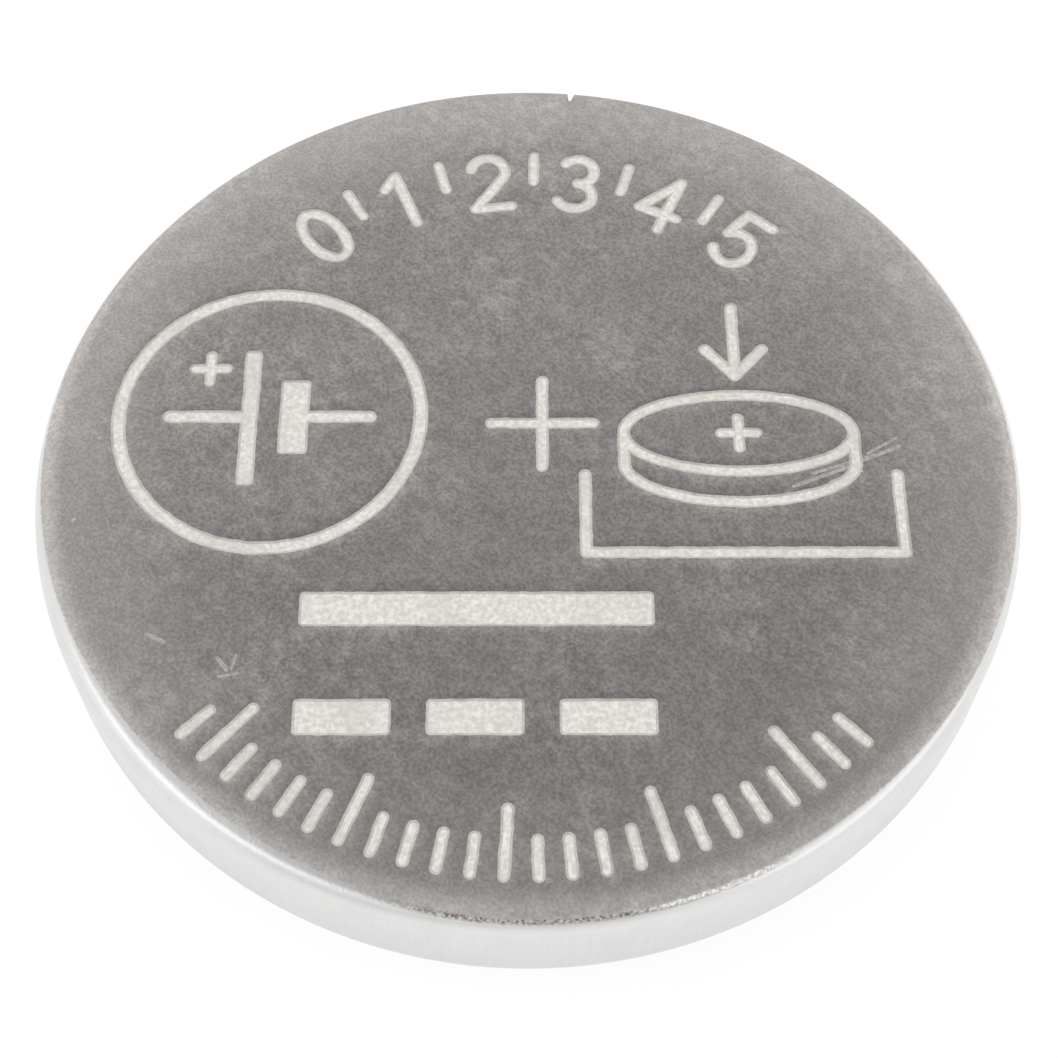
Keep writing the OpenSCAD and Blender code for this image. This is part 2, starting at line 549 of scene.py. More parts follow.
@dataclass(frozen=True)
class NickelPlatedSteel(Finish):
    """Nickel-plated cold-rolled steel, drawn into a can.

    The flat keeps the matt of the rolling, so it reads as a cloudy grey with a fine grain, paler
    towards the rim in a painted reflection. The die burnishes the wall, which reads almost white,
    with painted shade towards its foot. The burnish ends on the corner in a ragged line. On the
    near side that line holds painted shade specked with burrs, then a painted glint, with painted
    shade just past both.

    Attributes:
        rim: sRGB hex colour of the rim of the face, paler in a painted reflection; the middle has
            the base colour.
        wall: sRGB hex colour of the burnished wall, below its layers.
        burrs_and_shade: dark and light sRGB hex colour of the line's painted shade, specked with
            burrs.
        painted_glint: those of its painted glint, just after the painted shade.
        shaded: those of the painted shade on the burnish just past both.
        painted_glint_metallic: metallic of the painted glint, low so that it shows white.
        burnish_end: mm from the axis to the end of the burnish, less its height above the floor.
        ragged: mm over which the end is torn.
        sway: lobes round the cell, mm and degrees of each wave in which the burnish ends. The waves
            follow where the corner turns bright, so the burnish there is partly painted highlight.
        line_reach: mm past the end of the burnish at which the line starts, fades and is over.
        shade_reach: mm past its end between which the shade beside the line fades.
        line_from: degrees round from +X between which the line sets in.
        line_to: those between which it dies out, its last one first.
        painted_glint_from: those between which it turns from painted shade to painted glint.
    """

    base: str = "#908c8a"
    # Upright lines of the drawing die, 0.05 mm wide, over faint clouds of handling
    layers: tuple[Layer, ...] = (
        Layer("#e3e3e2", Pattern(0.05, 1.2, stretch=(1.0, 1.0, 30.0))),
        Layer("#d6d6d5", Pattern(0.8, 1.2, detail=3.0), cover=0.3, start=0.3),
    )
    roughness: tuple[float, float] = (0.43, 0.3)
    relief: float = 0.0015
    # Paler rim of the face: painted reflection
    rim: str = "#a29e9b"
    wall: str = "#dfdfde"
    # Painted shade along the corner line on the near side, specked with burrs
    burrs_and_shade: tuple[str, str] = ("#7d7672", "#dcd8d4")
    # Painted glint along the corner line, just after its painted shade
    painted_glint: tuple[str, str] = ("#c2beba", "#ffffff")
    # Painted shade on the burnish just past the line
    shaded: tuple[str, str] = ("#b3b0ad", "#d0cecb")
    # Less metallic where the glint is painted, so that it shows white
    painted_glint_metallic: float = 0.1
    burnish_end: float = 6.721
    ragged: float = 0.04
    # Waves that follow where the corner turns bright round the cell: burnish and, in part, painted
    # highlight
    sway: tuple[tuple[int, float, float], ...] = (
        (1, 0.212, 76.5),
        (2, 0.05, -69.2),
        (3, 0.041, -169.9),
        (4, 0.078, -28.6),
    )
    line_reach: tuple[float, float, float] = (0.045, 0.12, 0.15)
    shade_reach: tuple[float, float] = (0.15, 0.19)
    line_from: tuple[float, float] = (-110.0, -96.0)
    line_to: tuple[float, float] = (-58.0, -66.0)
    painted_glint_from: tuple[float, float] = (-80.0, -74.0)

    # The real grain is about 0.02 mm wide, too fine to show: grain, specks and torn edge are
    # drawn three times as coarse. The rolling stretches grain and clouds from -X+Y to +X-Y.
    SPECK = Pattern(0.06, 1.5)
    GRAIN = Pattern(0.06, 1.25, detail=3.0, stretch=(1.0, 1.2, 1.0), turn=-45.0)
    CLOUD = Pattern(0.24, 1.2, detail=4.0, stretch=(1.0, 1.5, 1.0), turn=-45.0, middle=0.52)
    PATCH = Pattern(2.4, 1.4)
    MOTTLE = Pattern(0.9, 1.2, detail=3.0)
    TORN = Pattern(0.07, 1.2, detail=3.0)
    # Factors on the colour of the face where a pattern is 0 and where it is 1. Smudges of
    # handling show where clouds and patches meet.
    # The first is not a pattern but a painted sheen that brightens the rim, between the radii below
    PAINTED_RIM_SHEEN_SHADES = 1.0, 1.6
    GRAIN_SHADES = 0.78, 1.2
    CLOUD_SHADES = 0.94, 1.06
    MOTTLE_SHADES = 0.95, 1.05
    SMUDGE_SHADES = 0.97, 1.22
    PALE_RANGE = 6.4 * MM, 9.6 * MM  # radii between which the face pales towards its rim in a painted reflection
    RUBBED = 0.35  # share of the grain and the clouds that handling has rubbed off the rim
    BLUR = 0.012 * MM  # half the width over which matt turns to burnished
    PAINTED_RIM_SHEEN_SHIFT = -0.03, -0.3  # mm, centre of the painted sheen on the rim with its sign turned, so it is brighter on the near side
    PAINTED_RIM_SHEEN_RANGE = 9.4 * MM, 9.95 * MM  # radii about that centre between which the painted sheen brightens the rim
    PAINTED_FOOT_SHADE_RANGE = 3.0 * MM, 1.0 * MM  # heights between which the wall darkens in painted shade towards its foot
    PAINTED_FOOT_SHADE_KEEP = 0.9  # share of its colour that the wall keeps at the lower one

    def surface(self, tree: Tree, place: Socket) -> dict[str, Socket]:
        """Adds what varies over the surface.

        Args:
            tree: node tree of the finish.
            place: position on the piece, in metres.

        Returns:
            Sockets by the name of the shader's input that they feed.
        """
        axes = add_node(tree, "SeparateXYZ", links={0: place}).outputs
        radius = self._radius(tree, axes)
        painted_rim_sheen_radius = self._radius(tree, axes, self.PAINTED_RIM_SHEEN_SHIFT)
        turn = {0: axes[1], 1: axes[0]}
        azimuth = add_node(tree, "Math", {"operation": "ARCTAN2"}, turn).outputs[0]
        grain, speck = (pattern.build(tree, place) for pattern in (self.GRAIN, self.SPECK))
        shares = [layer.pattern.build(tree, place) for layer in self.layers]
        wall = self.paint(tree, self.wall, self.layers, shares)
        masks = self._masks(tree, self._past_end(tree, place, radius, axes[2], azimuth), azimuth)
        colours = {
            "matt": self._matt(tree, place, radius, painted_rim_sheen_radius, grain),
            "bright": self._painted_foot_shade(tree, axes[2], wall),
        }
        # Colours along the line: painted shade specked with burrs, painted glint, and painted shade
        # just past both
        for name in ("burrs_and_shade", "painted_glint", "shaded"):
            dark, light = getattr(self, name)
            colours[name] = self.paint(tree, dark, [Layer(light, self.SPECK)], [speck])
        # The 'torn' colour is the line: painted glint laid into its painted shade. The line and the
        # painted shade beside it go over the wall, and the wall over the matt face
        for name, share, below, above in (
            ("torn", "painted_glint_share", "burrs_and_shade", "painted_glint"),
            ("wall", "shade", "bright", "shaded"),
            ("drawn", "line", "wall", "torn"),
            ("all", "burnished", "matt", "drawn"),
        ):
            ends = {FACTOR: masks[share], BELOW: colours[below], ABOVE: colours[above]}
            colours[name] = add_node(tree, "Mix", MIX, ends).outputs[MIXED]
        fed = {"Base Color": colours["all"]}
        # Metallic drops under the painted glint, so that it shows white
        for name, share, (low, high) in (
            ("Metallic", "painted_glint_spots", (1.0, self.painted_glint_metallic)),
            ("Roughness", "burnished", self.roughness),
        ):
            ends = {"To Min": low, "To Max": high}
            fed[name] = add_node(tree, "MapRange", ends, {"Value": masks[share]}).outputs[0]
        relief = {"Distance": self.relief * MM}
        fed["Normal"] = add_node(tree, "Bump", relief, {"Height": grain}).outputs[0]
        return fed

    def _painted_foot_shade(self, tree: Tree, height: Socket, colour: Socket) -> Socket:
        """Darkens the burnished wall towards its foot in painted shade, where it reflects the
        cell's shadow on the floor.

        Args:
            tree: node tree of the finish.
            height: height above the negative contact face.
            colour: colour of the wall.

        Returns:
            The colour, darker towards the foot.
        """
        start, end = self.PAINTED_FOOT_SHADE_RANGE
        fall = {"From Min": start, "From Max": end, "To Min": 1.0, "To Max": self.PAINTED_FOOT_SHADE_KEEP}
        share = add_node(tree, "MapRange", fall, {"Value": height}).outputs[0]
        scaling = {0: colour, "Scale": share}
        return add_node(tree, "VectorMath", {"operation": "SCALE"}, scaling).outputs[0]

    @staticmethod
    def _radius(tree: Tree, axes: Sequence[Socket], shift: Point = (0.0, 0.0)) -> Socket:
        """Adds the distance from an upright axis.

        Args:
            tree: node tree of the finish.
            axes: the three parts of the position.
            shift: millimetres added to the first two.

        Returns:
            The distance in metres.
        """
        flat = add_node(tree, "CombineXYZ", links={0: axes[0], 1: axes[1]}).outputs[0]
        move = {"operation": "ADD", 1: (shift[0] * MM, shift[1] * MM, 0.0)}
        moved = add_node(tree, "VectorMath", move, {0: flat}).outputs[0]
        length = add_node(tree, "VectorMath", {"operation": "LENGTH"}, {0: moved})
        return length.outputs["Value"]

    def _masks(self, tree: Tree, past: Socket, azimuth: Socket) -> dict[str, Socket]:
        """Adds the shares of the surface that each look takes.

        Args:
            tree: node tree of the finish.
            past: metres past the end of the burnish.
            azimuth: angle round the axis in radians.

        Returns:
            Values from 0 to 1 by name.
        """
        line_start, line_fade, line_end = (reach * MM for reach in self.line_reach)
        shade_fade, shade_end = (reach * MM for reach in self.shade_reach)
        masks = {}
        for name, value, start, end in (
            ("past_end", past, -self.BLUR, self.BLUR),
            ("past_start", past, line_start - self.BLUR, line_start + self.BLUR),
            ("before_line_end", past, line_end, line_fade),
            ("before_shade_end", past, shade_end, shade_fade),
            ("after_first", azimuth, *map(math.radians, self.line_from)),
            ("before_last", azimuth, *map(math.radians, self.line_to)),
            ("painted_glint_share", azimuth, *map(math.radians, self.painted_glint_from)),
        ):
            reach = {**SMOOTH, "From Min": start, "From Max": end}
            masks[name] = add_node(tree, "MapRange", reach, {"Value": value}).outputs[0]
        for name, operation, first, second in (
            ("stretch", "MULTIPLY", "after_first", "before_last"),
            ("matt_share", "SUBTRACT", "past_end", "past_start"),
            ("matt_stretch", "MULTIPLY", "matt_share", "stretch"),
            ("burnished", "SUBTRACT", "past_end", "matt_stretch"),
            # Shares of the line's painted shade and painted glint, and of the painted shade beside
            # it
            ("line", "MULTIPLY", "before_line_end", "stretch"),
            ("shade", "MULTIPLY", "before_shade_end", "stretch"),
            ("painted_glint_line", "MULTIPLY", "line", "painted_glint_share"),
            ("painted_glint_spots", "MULTIPLY", "painted_glint_line", "burnished"),
        ):
            terms = {0: masks[first], 1: masks[second]}
            masks[name] = add_node(tree, "Math", {"operation": operation}, terms).outputs[0]
        return masks

    def _matt(
        self, tree: Tree, place: Socket, radius: Socket, painted_rim_sheen_radius: Socket, grain: Socket
    ) -> Socket:
        """Adds the colour of the matt face.

        Args:
            tree: node tree of the finish.
            place: position on the piece, in metres.
            radius: distance from the axis.
            painted_rim_sheen_radius: distance from the middle of the painted sheen on the rim, a
                little off the axis.
            grain: the finest grain of the face.

        Returns:
            The colour, pale towards the rim in a painted reflection.
        """
        near, far = self.PALE_RANGE
        pale, rubbed = (
            add_node(
                tree,
                "MapRange",
                {**SMOOTH, "From Min": near, "From Max": far, "To Max": most},
                {"Value": radius},
            ).outputs[0]
            for most in (1.0, self.RUBBED)
        )
        tints = {**MIX, BELOW: linear(self.base), ABOVE: linear(self.rim)}
        plain = add_node(tree, "Mix", tints, {FACTOR: pale}).outputs[MIXED]
        cloud, patch, mottle = (
            pattern.build(tree, place) for pattern in (self.CLOUD, self.PATCH, self.MOTTLE)
        )
        both = {0: cloud, 1: patch}
        smudge = add_node(tree, "Math", {"operation": "MULTIPLY"}, both).outputs[0]
        colours = [plain]
        for value, (start, end), (dark, light) in (
            (painted_rim_sheen_radius, self.PAINTED_RIM_SHEEN_RANGE, self.PAINTED_RIM_SHEEN_SHADES),
            (grain, (0.0, 1.0), self.GRAIN_SHADES),
            (cloud, (0.0, 1.0), self.CLOUD_SHADES),
            (mottle, (0.0, 1.0), self.MOTTLE_SHADES),
            (smudge, (0.0, 1.0), self.SMUDGE_SHADES),
        ):
            ramp = {**SMOOTH, "From Min": start, "From Max": end, "To Min": dark, "To Max": light}
            factor = add_node(tree, "MapRange", ramp, {"Value": value}).outputs[0]
            scaling = {0: colours[-1], "Scale": factor}
            scaled = add_node(tree, "VectorMath", {"operation": "SCALE"}, scaling)
            colours.append(scaled.outputs[0])
        ends = {FACTOR: rubbed, BELOW: colours[-1], ABOVE: colours[1]}
        return add_node(tree, "Mix", MIX, ends).outputs[MIXED]

    def _past_end(
        self, tree: Tree, place: Socket, radius: Socket, height: Socket, azimuth: Socket
    ) -> Socket:
        """Adds the distance past the end of the burnish.

        Args:
            tree: node tree of the finish.
            place: position on the piece, in metres.
            radius: distance from the axis.
            height: height above the negative contact face.
            azimuth: angle round the axis in radians.

        Returns:
            Metres past the end, above 0 on the wall. It grows with the radius less the height,
            which counts alike over the rim of the face, the corner and the wall.
        """
        sides = {0: radius, 1: height}
        past = add_node(tree, "Math", {"operation": "SUBTRACT"}, sides).outputs[0]
        waves = [(self.TORN.build(tree, place), self.ragged)]
        for lobes, sway, phase in self.sway:
            turn = {"operation": "MULTIPLY_ADD", 1: lobes, 2: -math.radians(phase)}
            turned = add_node(tree, "Math", turn, {0: azimuth}).outputs[0]
            wave = add_node(tree, "Math", {"operation": "COSINE"}, {0: turned}).outputs[0]
            waves.append((wave, -sway))
        for wave, sway in waves:
            swing = {"operation": "MULTIPLY_ADD", 1: sway * MM}
            past = add_node(tree, "Math", swing, {0: wave, 2: past}).outputs[0]
        end = {"operation": "SUBTRACT", 1: (self.burnish_end + self.ragged / 2) * MM}
        return add_node(tree, "Math", end, {0: past}).outputs[0]


@dataclass(frozen=True)
class LaserFrostedNickel(Finish):
    """Nickel plating on the floor of a mark, where a laser melted it.

    The melt freezes as a fine froth, which scatters light and reads as cloudy off-white.
    """

    base: str = "#d7d5cd"
    # Froth, its pores, and patches where the melt lies deeper
    layers: tuple[Layer, ...] = (
        Layer("#f3f1eb", Pattern(0.1, 1.4, detail=3.0)),
        Layer("#cfccc5", Pattern(0.16, 1.5), cover=0.4, start=0.3),
        Layer("#cac7c1", Pattern(1.4, 1.5), cover=0.35, start=0.4),
    )
    roughness: tuple[float, float] = (0.6, 0.8)
    relief: float = 0.003
    metallic: float = 0.2


@dataclass(frozen=True)
class LaserTintedNickel(Finish):
    """Nickel plating on the slope of a laser mark, half frosted, so it reads a faint brown."""

    base: str = "#bfbcb6"
    # Half-melted grain under patches of heat tint
    layers: tuple[Layer, ...] = (
        Layer("#d2cfc9", Pattern(0.06, 1.4)),
        Layer("#a5958a", Pattern(0.6, 2.0, middle=0.55), cover=0.35, start=0.3),
    )
    roughness: tuple[float, float] = (0.5, 0.65)
    relief: float = 0.002
    metallic: float = 0.4


@dataclass(frozen=True)
class ScratchedNickel(Finish):
    """Plating laid bare by a light scratch, which reads as a bright hairline."""

    base: str = "#a5a19e"
    # Places along the hairline where the grit dug deeper
    layers: tuple[Layer, ...] = (Layer("#bfbcb8", Pattern(0.1, 1.6)),)
    roughness: tuple[float, float] = (0.5, 0.35)


@dataclass(frozen=True)
class DrawnNickel(Finish):
    """Nickel plating inside the can, clean as it was drawn, which reads as a soft satin."""

    base: str = "#b3b0ac"
    # Short lines of the drawing, 0.05 by 0.15 mm, under clouds
    layers: tuple[Layer, ...] = (
        Layer("#c5c2be", Pattern(0.05, 1.4, stretch=(1.0, 3.0, 1.0))),
        Layer("#a8a5a2", Pattern(1.0, 1.2, detail=3.0), cover=0.4, start=0.3),
    )
    roughness: tuple[float, float] = (0.3, 0.38)
    gloss_layer: int = 1


@dataclass(frozen=True)
class SatinDrawnSteel(Finish):
    """Nickel-clad stainless cap, drawn and tumbled: a satin with short crossing scuffs."""

    base: str = "#b7b5b1"
    # Grain of the sheet, clouds, and scuffs of the tumbling, 0.09 by 1.3 mm
    layers: tuple[Layer, ...] = (
        Layer("#c6c4c0", Pattern(0.04, 1.5, stretch=(1.0, 4.0, 1.0), turn=20.0)),
        Layer("#aaa7a4", Pattern(1.6, 1.2, detail=3.0), cover=0.4, start=0.3),
        Layer(
            "#d8d6d3",
            Pattern(0.09, 2.2, stretch=(14.0, 1.0, 1.0), turn=35.0, middle=0.62),
            cover=0.5,
            start=0.2,
        ),
    )
    roughness: tuple[float, float] = (0.3, 0.4)
    gloss_layer: int = 1
    relief: float = 0.0012


@dataclass(frozen=True)
class NaturalPolypropylene(Finish):
    """Injection-moulded natural polypropylene, milky and slightly waxy."""

    base: str = "#d8d6cd"
    # Matt of the eroded mould over milky clouds
    layers: tuple[Layer, ...] = (
        Layer("#dddbd2", Pattern(0.05, 1.2, detail=1.0)),
        Layer("#e4e2da", Pattern(0.7, 1.2, detail=3.0)),
    )
    roughness: tuple[float, float] = (0.38, 0.5)
    metallic: float = 0.0
    inputs: tuple[tuple[str, float], ...] = (
        ("IOR", 1.49),
        ("Subsurface Weight", 0.3),
        ("Subsurface Scale", 0.4 * MM),
    )


@dataclass(frozen=True)
class ExpandedSteel(Finish):
    """Slit and stretched stainless sheet, coined flat: grey faces with bright sheared edges."""

    base: str = "#a19f9c"
    # Sheared lines through the thickness, and grey clouds of the anneal
    layers: tuple[Layer, ...] = (
        Layer("#bab8b5", Pattern(0.03, 1.5, stretch=(1.0, 1.0, 6.0))),
        Layer("#7d7b79", Pattern(0.5, 1.3, detail=3.0), cover=0.6, start=0.3),
    )
    roughness: tuple[float, float] = (0.32, 0.5)
    gloss_layer: int = 1
    relief: float = 0.002


@dataclass(frozen=True)
class PressedOxide(Finish):
    """Manganese dioxide and graphite powder pressed to a pellet: near black, with a faint sheen."""

    base: str = "#211f1f"
    # Grains of the powder, and flakes of graphite 0.12 mm wide
    layers: tuple[Layer, ...] = (
        Layer("#343131", Pattern(0.06, 1.6, detail=3.0)),
        Layer("#5b5858", Pattern(0.12, 3.0, middle=0.68), cover=0.7, start=0.3),
    )
    roughness: tuple[float, float] = (0.8, 0.45)
    gloss_layer: int = 1
    relief: float = 0.012
    metallic: float = 0.0


@dataclass(frozen=True)
class NonWovenPolypropylene(Finish):
    """Non-woven sheet of melt-blown fibres, which reads as a white felt of crossing threads."""

    base: str = "#dedcd4"
    # Real fibres are about 0.01 mm thick, too fine to show: they are drawn 0.03 mm thick
    layers: tuple[Layer, ...] = (
        Layer("#f3f2ec", Pattern(0.03, 1.8, stretch=(16.0, 1.0, 1.0), turn=25.0)),
        Layer("#f3f2ec", Pattern(0.03, 1.8, stretch=(1.0, 16.0, 1.0), turn=-10.0)),
    )
    roughness: tuple[float, float] = (0.95, 0.8)
    relief: float = 0.02
    metallic: float = 0.0
    inputs: tuple[tuple[str, float], ...] = (("Sheen Weight", 0.3),)


@dataclass(frozen=True)
class RolledLithium(Finish):
    """Rolled lithium foil: soft silver that dulls in grey-brown clouds along the rolling."""

    base: str = "#c3c5c7"
    # Lines of the rolling, 0.06 by 1.5 mm, under a film that dulls in clouds
    layers: tuple[Layer, ...] = (
        Layer("#d4d6d8", Pattern(0.06, 1.3, stretch=(25.0, 1.0, 1.0))),
        Layer(
            "#989594",
            Pattern(1.4, 1.4, detail=4.0, stretch=(2.0, 1.0, 1.0)),
            cover=0.7,
            start=0.4,
        ),
    )
    roughness: tuple[float, float] = (0.33, 0.6)
    gloss_layer: int = 1
    relief: float = 0.002


class CanSlot(IntEnum):
    """Material slots of the can, in the order of its finishes."""

    PLATING = 0
    MARK_FLOOR = 1
    MARK_EDGE = 2
    SCRATCH = 3
    INSIDE = 4


class StrokeEnd(Enum):
    """Shape of the ends of a stroke."""

    ROUND = "round"
    SQUARE = "square"


@dataclass(frozen=True)
class Cut:
    """What one tool leaves in the face, in millimetres.

    Attributes:
        depth: depth of the floor.
        edge: width of the sloping edge.
        grain: height of the roughness of the floor.
        wobble: how far the outline wanders.
        rank: which cut wins where two cross. A floor ranks one above its own edge.
        floor: slot of the floor.
        slope: slot of the sloping edge.
    """

    depth: float
    edge: float
    grain: float
    wobble: float
    rank: int
    floor: CanSlot
    slope: CanSlot


LASER = Cut(
    depth=0.015,
    edge=0.05,
    grain=0.004,
    wobble=0.016,
    rank=3,
    floor=CanSlot.MARK_FLOOR,
    slope=CanSlot.MARK_EDGE,
)
SCRATCH = Cut(
    depth=0.005,
    edge=0.012,
    grain=0.0,
    wobble=0.006,
    rank=1,
    floor=CanSlot.SCRATCH,
    slope=CanSlot.SCRATCH,
)


@dataclass(frozen=True)
class Stroke:
    """One stroke of a mark, in millimetres.

    Attributes:
        path: points of its centre line on the face.
        width: its width.
        cut: what its tool leaves.
        end: shape of its ends.
        closed: whether its last point joins the first.
    """

    path: tuple[Point, ...]
    width: float
    cut: Cut = LASER
    end: StrokeEnd = StrokeEnd.ROUND
    closed: bool = False

    STEP = 0.07  # distance between the points of an outline
    CORNER = 0.09  # radius of the corners of a square end
    MARGIN = 0.02  # straight stretch before such a corner, and its least radius on the floor
    ROUND_STEPS = 8  # steps round a round end
    WANDER = 0.22  # distance over which the outline wanders
    FLOOR_MARGIN = 0.04  # distance that the points on the floor keep from its edge
    LANE = 0.08  # distance between two rows of them

    def stations(self) -> list[tuple[Vector, Vector]]:
        """Spaces points evenly along the centre line.

        Returns:
            Each point with its direction.
        """
        points = [Vector(p) for p in self.path]
        if self.closed:
            points.append(points[0])
        lengths = [0.0]
        for a, b in zip(points, points[1:]):
            lengths.append(lengths[-1] + (b - a).length)
        trim = self.CORNER + self.MARGIN if self.end is StrokeEnd.SQUARE else 0.0
        count = max(1, round((lengths[-1] - 2 * trim) / self.STEP))
        made, k = [], 0
        for i in range(count if self.closed else count + 1):
            s = trim + (lengths[-1] - 2 * trim) * i / count
            while k < len(points) - 2 and lengths[k + 1] < s:
                k += 1
            span = points[k + 1] - points[k]
            made.append((points[k] + span * ((s - lengths[k]) / span.length), span.normalized()))
        if len(made) > 2:
            made = [(at, self._direction(made, i, along)) for i, (at, along) in enumerate(made)]
        return made

    def _direction(self, made: list[tuple[Vector, Vector]], i: int, along: Vector) -> Vector:
        """Finds the direction at one station, from its neighbours where it has two.

        Args:
            made: the stations, each with the direction of its own stretch of the path.
            i: number of the station.
            along: direction of its stretch.

        Returns:
            The direction.
        """
        if self.closed or 0 < i < len(made) - 1:
            chord = made[(i + 1) % len(made)][0] - made[i - 1][0]
            return chord.normalized() if chord.length > ON_AXIS else along
        return along

    def _wander(self, at: Vector, out: Vector, reach: float, inset: float) -> Point:
        """Finds a point of the outline, with the wander of the tool.

        Args:
            at: point of the centre line.
            out: direction from it to the outline.
            reach: distance from it to the outline.
            inset: distance by which the outline is drawn in.

        Returns:
            The point.
        """
        edge = at + out * reach
        seed = Vector((edge.x / self.WANDER, edge.y / self.WANDER, self.width))
        shift = reach - inset + self.cut.wobble * noise.noise(seed)
        place = at + out * shift
        return place.x, place.y

    def outlines(self, inset: float) -> list[list[Point]]:
        """Closed outlines of the stroke.

        Args:
            inset: distance by which the outline is drawn in.

        Returns:
            One outline, or the outer and the inner one of a closed stroke.
        """
        stations = self.stations()
        half = self.width / 2
        left = [self._wander(at, along.orthogonal(), half, inset) for at, along in stations]
        right = [self._wander(at, -along.orthogonal(), half, inset) for at, along in stations]
        if self.closed:
            return [left, right]
        last, first = stations[-1], stations[0]
        head = self._cap(last[0], last[1], inset)
        tail = self._cap(first[0], -first[1], inset)
        clockwise = [*left, *head, *reversed(right), *tail]
        return [clockwise[::-1]]

    def _cap(self, at: Vector, along: Vector, inset: float) -> list[Point]:
        """Goes round one end, from the left of the direction to its right.

        Args:
            at: last point of the centre line.
            along: direction in which the stroke ends.
            inset: distance by which the outline is drawn in.

        Returns:
            The points round the end.
        """
        side, half = along.orthogonal(), self.width / 2
        if self.end is StrokeEnd.ROUND:
            turns = [math.pi * i / self.ROUND_STEPS for i in range(1, self.ROUND_STEPS)]
            return [
                self._wander(at, side * math.cos(t) + along * math.sin(t), half, inset)
                for t in turns
            ]
        radius = max(self.CORNER - inset, self.MARGIN)
        ahead = self.CORNER + self.MARGIN - inset - radius
        quarter = (0, 30, 60, 90)  # degrees round each corner
        made = []
        for sign, turns in ((1, quarter), (-1, quarter[::-1])):
            middle = at + along * ahead + side * (sign * (half - inset - radius))
            for t in map(math.radians, turns):
                place = middle + side * (sign * radius * math.cos(t)) + along * radius * math.sin(t)
                made.append((place.x, place.y))
        return made

    def floor_points(self) -> list[Point]:
        """Lays points on the floor of the stroke, clear of its edge.

        Returns:
            The points, in rows along the stroke.
        """
        reach = self.width / 2 - self.cut.edge - self.FLOOR_MARGIN
        lanes = max(1, round(2 * reach / self.LANE) + 1) if reach > 0 else 1
        made = []
        for at, along in self.stations():
            for lane in range(lanes):
                shift = 0.0 if lanes == 1 else reach * (2 * lane / (lanes - 1) - 1)
                place = at + along.orthogonal() * shift
                made.append((place.x, place.y))
        return made


